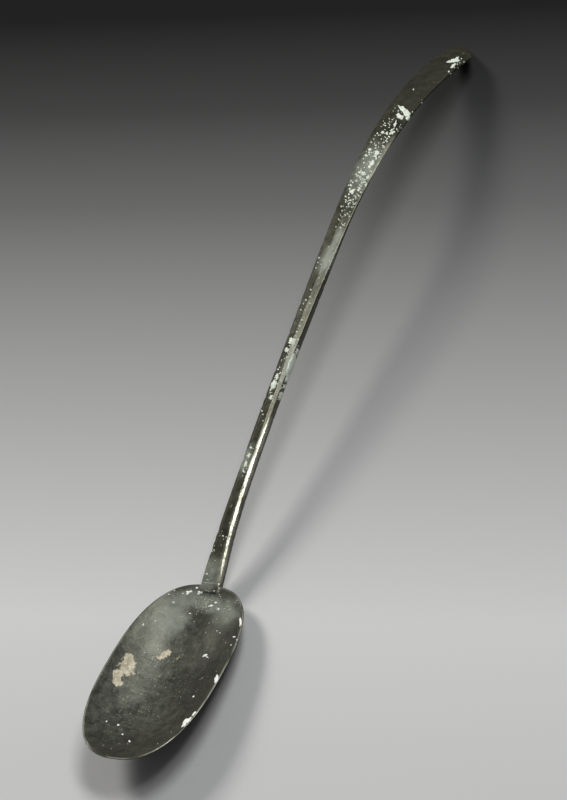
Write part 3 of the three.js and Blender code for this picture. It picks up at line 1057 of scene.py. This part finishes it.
PALE_CRUSTS = [
    (405, 111.5, 8.8, 3.6, 47),
    (400.5, 117, 3.6, 2.6, 20),
    (409, 118.5, 3.4, 2.6, 30),
    (398, 115, 2.4, 2.0, 0),
    (395, 124.5, 1.5, 3.4, 25),
    (392.5, 132.5, 2.4, 1.7, -20),
    (387, 133.5, 1.4, 1.9, 0),
    (382.5, 132.5, 1.9, 1.9, 0),
    (401.5, 131.5, 1.9, 1.5, -40),
    (376, 145.5, 1.4, 0.9, -30),
    (370, 149.5, 2.0, 1.5, -30),
    (377, 153, 2.9, 2.3, -40),
    (366, 156, 1.7, 1.1, 0),
    (372, 163.5, 3.2, 2.4, -40),
    (369.5, 167, 2.2, 1.7, 0),
    (363.5, 174, 3.0, 2.2, -30),
    (367.5, 177.5, 1.6, 2.6, 20),
    (359.5, 172.5, 1.8, 1.1, 0),
    (350.5, 185, 1.3, 1.0, 0),
    (352, 191.5, 3.2, 2.2, -40),
    (366, 185, 1.0, 2.6, 10),
    (350.5, 200.5, 1.6, 1.2, 0),
    (358.5, 190, 1.6, 1.3, 0),
    (356, 197, 1.2, 1.0, 0),
    (354.5, 204, 1.1, 0.8, 0),
    (341.5, 206.5, 1.0, 0.9, 0),
    (349.5, 216.5, 1.0, 0.9, 0),
    (343, 225, 1.0, 1.0, 0),
    (453, 61, 6.0, 1.9, -8),
    (457, 59.5, 2.0, 3.2, 0),
    (453, 66, 3.2, 1.6, -45),
    (470, 62, 2.0, 1.4, -20),
    (464, 67, 1.8, 1.0, 10),
    (449, 71.5, 1.0, 1.0, 0),
    (413.5, 89.5, 0.8, 0.9, 0),
    (450, 79, 0.9, 0.7, 0),
    (422, 103, 0.8, 1.1, 0),
    (412.5, 112, 0.7, 0.7, 0),
    (292, 366, 4.6, 11.5, 16),
    (288.5, 379, 3.2, 5.0, 10),
    (292.5, 341.5, 4.0, 4.2, 10),
    (287, 350, 2.0, 2.8, 10),
    (297, 352, 2.0, 3.2, 15),
    (273.5, 385, 2.6, 6.5, 20),
    (277, 376.5, 1.8, 3.0, 15),
    (271, 397, 1.6, 2.6, 15),
    (281, 396, 2.4, 4.6, 20),
    (284.5, 387, 1.6, 2.4, 15),
    (262, 411, 1.0, 1.0, 0),
    (263, 414.5, 1.1, 1.0, 0),
    (263, 421, 0.8, 0.8, 0),
    (251, 448, 1.5, 1.6, 0),
    (248.5, 456, 1.6, 2.6, 20),
    (245.5, 464, 1.5, 3.4, 15),
    (243.5, 471.5, 1.1, 1.6, 0),
    (243, 487, 1.3, 1.8, 15),
    (241, 491, 0.8, 0.9, 0),
    (230, 523, 0.9, 0.9, 0),
    (223, 536, 1.0, 1.0, 0),
    (226, 537, 0.9, 0.8, 0),
    (207, 574, 1.2, 1.4, 0),
    (219, 589, 0.9, 0.9, 0),
    (302, 320, 1.1, 1.1, 0),
    (300, 326, 1.1, 1.0, 0),
    (297, 332, 1.1, 1.1, 0),
    (296, 336, 0.9, 0.9, 0),
    (311, 290, 1.1, 1.1, 0),
    (310, 297, 1.1, 1.0, 0),
    (306, 300, 1.0, 1.0, 0),
    (310, 303.5, 0.9, 0.9, 0),
    (303.5, 304, 0.9, 0.9, 0),
    (301, 310, 1.0, 0.9, 0),
    (305, 310, 0.9, 0.9, 0),
    (319, 278, 0.9, 0.9, 0),
    (324, 279, 0.9, 0.9, 0),
    (319, 258, 1.0, 1.0, 0),
    (318, 262.5, 0.8, 0.8, 0),
    (316, 268, 0.8, 0.8, 0),
]

# Finer grains, scattered by chance along the crusted stretches: from, to, half width, count, size
SCATTERS = [
    ((389, 124), (347, 204), 7.5, 170, 0.9),
    ((352, 200), (338, 228), 5.0, 34, 0.8),
    ((334, 245), (324, 270), 5.0, 20, 0.6),
    ((296, 338), (272, 402), 6.0, 70, 0.8),
    ((252, 445), (243, 478), 2.5, 16, 0.7),
    ((224, 530), (207, 584), 6.0, 26, 0.55),
    ((470, 58), (446, 76), 5.0, 12, 0.6),
    ((404, 108), (392, 130), 8.0, 30, 0.7),
]
SCATTER_SEED = 41
GRAIN_SIZES = (0.55, 1.35)
GRAIN_ROUNDNESS = (0.6, 1.0)
GRAIN_TURNS = (0, 180)
GRAIN_HEIGHT = 0.1
GRAIN_RAGGEDNESS = 0.5

# Specks round the joint, placed by means and spreads in the picture, with ranges of half sizes
JOINT_SPECKS = 70
JOINT_X = (212, 14)
JOINT_Y = (606, 7)
JOINT_SPECK_RX = (0.3, 0.7)
JOINT_SPECK_RY = (0.3, 0.6)
JOINT_SPECK_HEIGHT = 0.06

# Specks all over the bowl, placed by ranges in the picture, with ranges of half sizes
BOWL_SPECKS = 60
BOWL_X = (100, 240)
BOWL_Y = (600, 750)
BOWL_SPECK_RX = (0.25, 0.5)
BOWL_SPECK_RY = (0.25, 0.45)
BOWL_SPECK_HEIGHT = 0.05
SPECK_RAGGEDNESS = 0.5

# How finely a crust is divided, as sides and rings
SMALL_AREA = 4
SMALL_DIVISION = (10, 3)
LARGE_DIVISION = (28, 7)

# The waves of a crust's edge: size, share of its raggedness, shift of the noise
EDGE_WAVES = [(1.3, 1.0, 0), (3.1, 0.6, 9)]
PHASE_RANGE = 50

# A crust's lumps, with their wave's size in metres, and how deep its edge and its base are sunk
LUMPS = 0.4
LUMP_WAVE = (0.0004, 31)
EDGE_SINK = 0.05
BASE_DEPTH = 0.12

# How far a crust's points are drawn in, in turn, where the surface has fallen away under them:
# farther than this many times what the picture shows, with a margin in pixels
DRAWN_IN = (1.0, 0.7, 0.4, 0.15, 0.0)
FALL_ALLOWED = 3.2
FALL_MARGIN = 1.5

surfaces = [BVHTree.FromPolygons(*skin) for skin in (bowl_skin, handle_skin, bead_skin)]


def seen_surface(px, py):
    """The nearest metal seen at a place of the picture, as point, normal and distance."""
    direction = seen_ray(px, py)
    best = None
    for tree in surfaces:
        point, normal, _, distance = tree.ray_cast(eye, direction)
        if point is not None and (best is None or distance < best[2]):
            if normal.dot(direction) > 0:
                normal = -normal
            best = (point, normal, distance)
    return best


def surface_beside(centre, px, py, across, down):
    """The metal seen beside a place of the picture, drawn in towards it where a drop is between."""
    start, _, distance = centre
    limit = FALL_ALLOWED * distance / FOCAL * (math.hypot(across, down) + FALL_MARGIN)
    for keep in DRAWN_IN:
        found = seen_surface(px + keep * across, py + keep * down)
        if found is not None and (found[0] - start).length < limit:
            return found
    return centre


def ragged_edge(angle, ragged, phase):
    """How far a crust's edge stands out at an angle, as a share of its half size."""
    edge = 1
    for size, share, shift in EDGE_WAVES:
        wave = Vector((math.cos(angle) * size, math.sin(angle) * size, phase + shift))
        edge += share * ragged * noise.noise(wave)
    return edge


class Crusts:
    """Raised crusts, gathered into one mesh."""

    def __init__(self):
        self.verts = []
        self.faces = []

    def add(self, px, py, rx, ry, turn, height, ragged, seed):
        centre = seen_surface(px, py)
        if centre is None:
            return
        phase = random.Random(seed).uniform(0, PHASE_RANGE)
        sides, rings = SMALL_DIVISION if rx * ry < SMALL_AREA else LARGE_DIVISION
        c = math.cos(math.radians(turn))
        s = math.sin(math.radians(turn))
        first = len(self.verts)
        start, outward, _ = centre
        self.verts.append(start + outward * height * MM)
        for ring in range(1, rings + 1):
            share = ring / rings
            for i in range(sides):
                angle = 2 * math.pi * i / sides
                edge = ragged_edge(angle, ragged, phase)
                dx = rx * edge * share * math.cos(angle)
                dy = ry * edge * share * math.sin(angle)
                beside = surface_beside(centre, px, py, c * dx - s * dy, s * dx + c * dy)
                self.verts.append(self.lifted(beside, height, share))
        self.verts.append(start - outward * BASE_DEPTH * MM)
        self.join(first, sides, rings)

    def lifted(self, surface, height, share):
        """A point of the crust over a point of the metal, sunk a little at the crust's edge."""
        point, normal, _ = surface
        if share == 1:
            return point - normal * EDGE_SINK * MM
        lift = height * math.sqrt(1 - share ** 2) * (1 + LUMPS * wobble(point, *LUMP_WAVE))
        return point + normal * lift * MM

    def join(self, first, sides, rings):
        last = len(self.verts) - 1
        end_ring = last - sides
        for i in range(sides):
            j = (i + 1) % sides
            self.faces.append((first, first + 1 + j, first + 1 + i))
            for near in range(first + 1, end_ring, sides):
                far = near + sides
                self.faces.append((near + i, near + j, far + j, far + i))
            self.faces.append((end_ring + i, end_ring + j, last))

    def piece(self, name, material):
        """The crusts as a piece that keeps inside the CAD's box."""
        low, high = size_before
        for v in self.verts:
            for axis in range(3):
                v[axis] = max(low[axis], min(high[axis], v[axis]))
        return mesh_piece(name, self.verts, self.faces, material)


def crusts_at(ovals, height, growth, ragged, first_seed):
    """A crust on each oval, its height growing with its lesser half size."""
    crusts = Crusts()
    for n, (px, py, rx, ry, turn) in enumerate(ovals):
        crusts.add(px, py, rx, ry, turn, height + growth * min(rx, ry), ragged, first_seed + n)
    return crusts


def scattered_grains(maker):
    grains = Crusts()
    for start, end, half, count, size in SCATTERS:
        length = math.dist(start, end)
        side = ((end[1] - start[1]) / length, -(end[0] - start[0]) / length)
        for n in range(count):
            t = maker.random()
            off = maker.uniform(-half, half)
            px = start[0] + (end[0] - start[0]) * t + side[0] * off
            py = start[1] + (end[1] - start[1]) * t + side[1] * off
            rx = size * maker.uniform(*GRAIN_SIZES)
            ry = rx * maker.uniform(*GRAIN_ROUNDNESS)
            turn = maker.uniform(*GRAIN_TURNS)
            grains.add(px, py, rx, ry, turn, GRAIN_HEIGHT, GRAIN_RAGGEDNESS, n)
    return grains


def scattered_specks(maker):
    specks = Crusts()
    for n in range(JOINT_SPECKS):
        px = maker.gauss(*JOINT_X)
        py = maker.gauss(*JOINT_Y)
        rx = maker.uniform(*JOINT_SPECK_RX)
        ry = maker.uniform(*JOINT_SPECK_RY)
        specks.add(px, py, rx, ry, 0, JOINT_SPECK_HEIGHT, SPECK_RAGGEDNESS, n)
    for n in range(BOWL_SPECKS):
        px = maker.uniform(*BOWL_X)
        py = maker.uniform(*BOWL_Y)
        rx = maker.uniform(*BOWL_SPECK_RX)
        ry = maker.uniform(*BOWL_SPECK_RY)
        specks.add(px, py, rx, ry, 0, BOWL_SPECK_HEIGHT, SPECK_RAGGEDNESS, n)
    return specks


maker = random.Random(SCATTER_SEED)
white_crusts = crusts_at(WHITE_CRUSTS, height=0.12, growth=0.03, ragged=0.8, first_seed=100)
tan_deposits = crusts_at(TAN_DEPOSITS, height=0.06, growth=0.0, ragged=0.7, first_seed=200)
pale_crusts = crusts_at(PALE_CRUSTS, height=0.1, growth=0.035, ragged=0.6, first_seed=300)
grains = scattered_grains(maker)
specks = scattered_specks(maker)

white_piece = white_crusts.piece("bowl_crusts", WHITE_CRUST)
tan_piece = tan_deposits.piece("bowl_tan_deposit", TAN_CRUST)
pale_piece = pale_crusts.piece("handle_crusts", PALE_CRUST)
grains_piece = grains.piece("handle_grains", PALE_CRUST)
specks_piece = specks.piece("bowl_specks", PALE_CRUST)

for piece, nodes, slot in (
    (bowl, ["bowl"], "bowl_bronze"),
    (tang, ["bowl"], "bowl_bronze"),
    (handle, ["handle"], "handle_bronze"),
    (film, ["solder"], "solder"),
    (bead, [], "solder"),
    (white_piece, [], "bowl_bronze"),
    (tan_piece, [], "bowl_bronze"),
    (specks_piece, [], "bowl_bronze"),
    (pale_piece, [], "handle_bronze"),
    (grains_piece, [], "handle_bronze"),
):
    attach(piece, "root")
    if nodes:
        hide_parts(*nodes)


# The floor, a sheet of paper, with painted shade that darkens it away from the camera

PAPER_REACH = 4.0
PAPER_ROUGHNESS = 0.85
PAPER_BLUE_SHARE = 0.99
PAPER_BUMP = (0.1, 0.0001)

# The paper's tone and painted shade by its grade, which is GRADE_MIDDLE at the origin, under the spoon's
# middle, and grows away from the camera
PAPER_AND_SHADE_TONES = [(0.28, 0.41), (0.36, 0.43), (0.49, 0.26), (0.63, 0.09), (0.7, 0.035), (0.77, 0.01)]
GRADE_PER_METRE = 1.6
GRADE_MIDDLE = 0.5


def paper_with_painted_shade():
    material, tree, shader, place = new_material("paper_with_painted_shade")
    turned = tree.nodes.new("ShaderNodeMapping")
    turned.vector_type = "TEXTURE"
    turned.inputs["Rotation"].default_value = (0.0, 0.0, math.atan2(up.y, up.x))
    tree.links.new(place, turned.inputs["Vector"])
    split = tree.nodes.new("ShaderNodeSeparateXYZ")
    tree.links.new(turned.outputs["Vector"], split.inputs["Vector"])
    grade = maths(tree, "MULTIPLY_ADD", split.outputs["X"], GRADE_PER_METRE, GRADE_MIDDLE)
    stops = [(stop, (tone, tone, PAPER_BLUE_SHARE * tone)) for stop, tone in PAPER_AND_SHADE_TONES]
    tree.links.new(ramp(tree, grade, stops), shader.inputs["Base Color"])
    shader.inputs["Specular IOR Level"].default_value = 0.0
    shader.inputs["Roughness"].default_value = PAPER_ROUGHNESS
    fine = noise_node(tree, place, scale=900.0, detail=4.0, roughness=0.6)
    bump(tree, shader, [(fine, *PAPER_BUMP)])
    return material


floor_corners = [(PAPER_REACH * x, PAPER_REACH * y, 0) for x, y in ((-1, -1), (1, -1), (1, 1), (-1, 1))]
floor = mesh_piece("floor", floor_corners, [(0, 1, 2, 3)], paper_with_painted_shade(), smooth=False)


# The lamps and the world

# Name, where it stands as seen from the camera (right, up, towards it), distance, size, power, colour
LAMPS = [
    ("key", (-0.68, 0.72, -0.05), 1.5, (0.42, 0.42), 20.0, (1.0, 0.985, 0.96)),
    ("above", (0.04, 0.83, 0.56), 1.4, (0.55, 0.40), 12.0, (0.97, 0.985, 1.0)),
    ("left", (-0.75, 0.62, -0.10), 1.5, (0.3, 0.5), 2.5, (1.0, 0.99, 0.97)),
    ("front", (0.21, 0.62, 0.76), 1.4, (0.3, 0.22), 4.0, (1.0, 1.0, 1.0)),
]
LAMP_AIM = Vector((0.0, 0.0, 0.01))
WORLD_COLOUR = (0.80, 0.82, 0.84, 1.0)
WORLD_STRENGTH = 0.16


def lamp(name, seen_from, distance, size, power, colour):
    data = bpy.data.lights.new(name, "AREA")
    data.shape = "RECTANGLE"
    data.size, data.size_y = size
    data.energy = power
    data.color = colour
    light = bpy.data.objects.new(name, data)
    bpy.context.scene.collection.objects.link(light)
    direction = (right * seen_from[0] + up * seen_from[1] + back * seen_from[2]).normalized()
    light.location = LAMP_AIM + direction * distance
    light.rotation_euler = (-direction).to_track_quat("-Z", "Y").to_euler()


def studio_world():
    world = bpy.data.worlds.new("studio")
    world.use_nodes = True
    background = world.node_tree.nodes["Background"]
    background.inputs["Color"].default_value = WORLD_COLOUR
    background.inputs["Strength"].default_value = WORLD_STRENGTH
    return world


for row in LAMPS:
    lamp(*row)

# The key lamp lights the metal but isn't mirrored in it
bpy.data.objects["key"].visible_glossy = False

bpy.context.scene.world = studio_world()
bpy.context.scene.view_settings.view_transform = "Standard"
